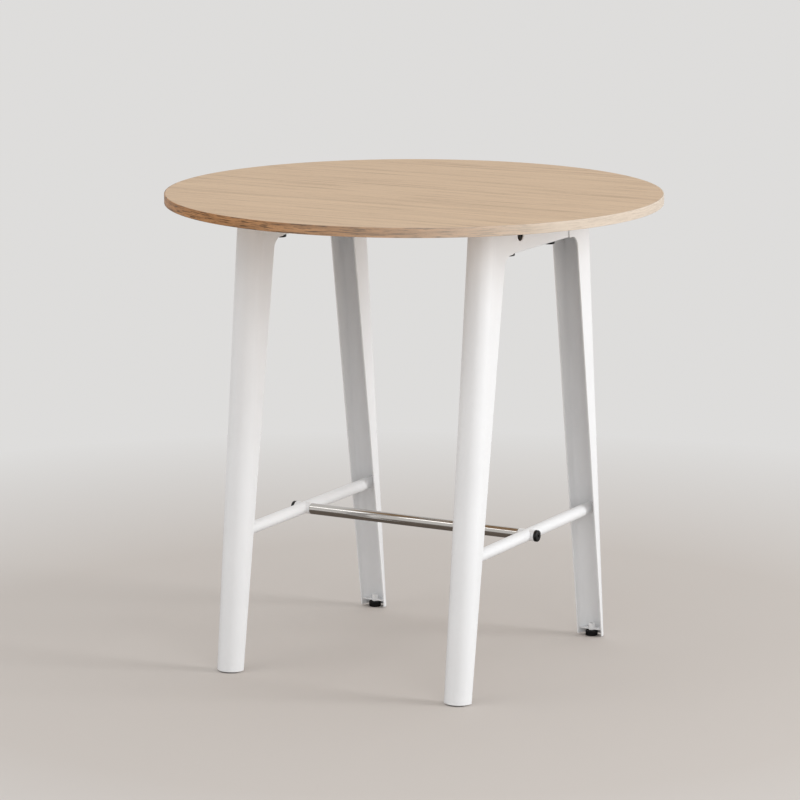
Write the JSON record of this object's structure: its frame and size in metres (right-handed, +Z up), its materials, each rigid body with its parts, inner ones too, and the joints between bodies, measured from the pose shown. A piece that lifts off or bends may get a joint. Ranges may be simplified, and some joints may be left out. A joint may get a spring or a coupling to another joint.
{
  "type": "standing meeting table",
  "caption": "Round oak-veneered standing table on leaning folded-steel legs in pairs, joined by white stretchers and a stainless cross bar, on screw-in levelling feet.",
  "frame": {"origin": "on the floor under the middle of the round top", "axes": "+X along the cross bar to the right pair of legs, +Y from the front legs to the rear legs, +Z up"},
  "size_m": [1.1, 1.1, 1.05],
  "materials": {
    "oak_veneer": "matt lacquered pale oak veneer, straight grain",
    "oak_edge": "oak edge band, grain along the rim",
    "core_board": "raw core board",
    "white_coat": "white powder coat, satin",
    "stainless": "polished stainless tube",
    "zinc_steel": "zinc plated",
    "black_steel": "black coated, satin",
    "black_plastic": "moulded black plastic"
  },
  "bodies": {
    "table": {"tabletop_core": "core_board", "top_veneer": "oak_veneer", "bottom_veneer": "oak_veneer", "edge_band": "oak_edge", "threaded_insert_left_front": "zinc_steel", "threaded_insert_left_rear": "zinc_steel", "threaded_insert_right_front": "zinc_steel", "threaded_insert_right_rear": "zinc_steel", "top_bolt_left_front": "black_steel", "top_bolt_left_rear": "black_steel", "top_bolt_right_front": "black_steel", "top_bolt_right_rear": "black_steel", "top_bolt_washer_left_front": "black_steel", "top_bolt_washer_left_rear": "black_steel", "top_bolt_washer_right_front": "black_steel", "top_bolt_washer_right_rear": "black_steel", "rail_left": "white_coat", "rail_right": "white_coat", "leg_left_front": "white_coat", "leg_left_rear": "white_coat", "leg_right_front": "white_coat", "leg_right_rear": "white_coat", "stretcher_left": "white_coat", "stretcher_right": "white_coat", "collar_left_outer": "white_coat", "collar_left_inner": "white_coat", "collar_right_outer": "white_coat", "collar_right_inner": "white_coat", "cross_bar": "stainless", "bar_plug_left": "zinc_steel", "bar_plug_right": "zinc_steel", "bar_screw_left": "black_steel", "bar_screw_right": "black_steel", "foot_plate_left_front": "white_coat", "foot_plate_left_rear": "white_coat", "foot_plate_right_front": "white_coat", "foot_plate_right_rear": "white_coat", "foot_nut_left_front": "white_coat", "foot_nut_left_rear": "white_coat", "foot_nut_right_front": "white_coat", "foot_nut_right_rear": "white_coat"},
    "pad_left_front": {"glide_left_front": "black_plastic"},
    "pad_left_rear": {"glide_left_rear": "black_plastic"},
    "pad_right_front": {"glide_right_front": "black_plastic"},
    "pad_right_rear": {"glide_right_rear": "black_plastic"},
    "screw_left_front": {"foot_stud_left_front": "zinc_steel"},
    "screw_left_rear": {"foot_stud_left_rear": "zinc_steel"},
    "screw_right_front": {"foot_stud_right_front": "zinc_steel"},
    "screw_right_rear": {"foot_stud_right_rear": "zinc_steel"}
  },
  "joints": [
    {"name": "foot_height_left_front", "type": "slide", "parent": "table", "child": "pad_left_front", "axis": [0, 0, -1], "range_m": [0, 0.008]},
    {"name": "foot_height_left_rear", "type": "slide", "parent": "table", "child": "pad_left_rear", "axis": [0, 0, -1], "range_m": [0, 0.008]},
    {"name": "foot_height_right_front", "type": "slide", "parent": "table", "child": "pad_right_front", "axis": [0, 0, -1], "range_m": [0, 0.008]},
    {"name": "foot_height_right_rear", "type": "slide", "parent": "table", "child": "pad_right_rear", "axis": [0, 0, -1], "range_m": [0, 0.008]},
    {"name": "foot_turn_left_front", "type": "hinge", "parent": "pad_left_front", "child": "screw_left_front", "pos_m": [-0.2845, -0.334, 0], "axis": [0, 0, -1], "range_deg": [0, 2305]},
    {"name": "foot_turn_left_rear", "type": "hinge", "parent": "pad_left_rear", "child": "screw_left_rear", "pos_m": [-0.2845, 0.334, 0], "axis": [0, 0, -1], "range_deg": [0, 2305]},
    {"name": "foot_turn_right_front", "type": "hinge", "parent": "pad_right_front", "child": "screw_right_front", "pos_m": [0.2845, -0.334, 0], "axis": [0, 0, -1], "range_deg": [0, 2305]},
    {"name": "foot_turn_right_rear", "type": "hinge", "parent": "pad_right_rear", "child": "screw_right_rear", "pos_m": [0.2845, 0.334, 0], "axis": [0, 0, -1], "range_deg": [0, 2305]}
  ],
  "couplings": [
    {"joint": "foot_turn_left_front", "follows": "foot_height_left_front", "rad_per_m": 5026.5},
    {"joint": "foot_turn_left_rear", "follows": "foot_height_left_rear", "rad_per_m": 5026.5},
    {"joint": "foot_turn_right_front", "follows": "foot_height_right_front", "rad_per_m": 5026.5},
    {"joint": "foot_turn_right_rear", "follows": "foot_height_right_rear", "rad_per_m": 5026.5}
  ]
}
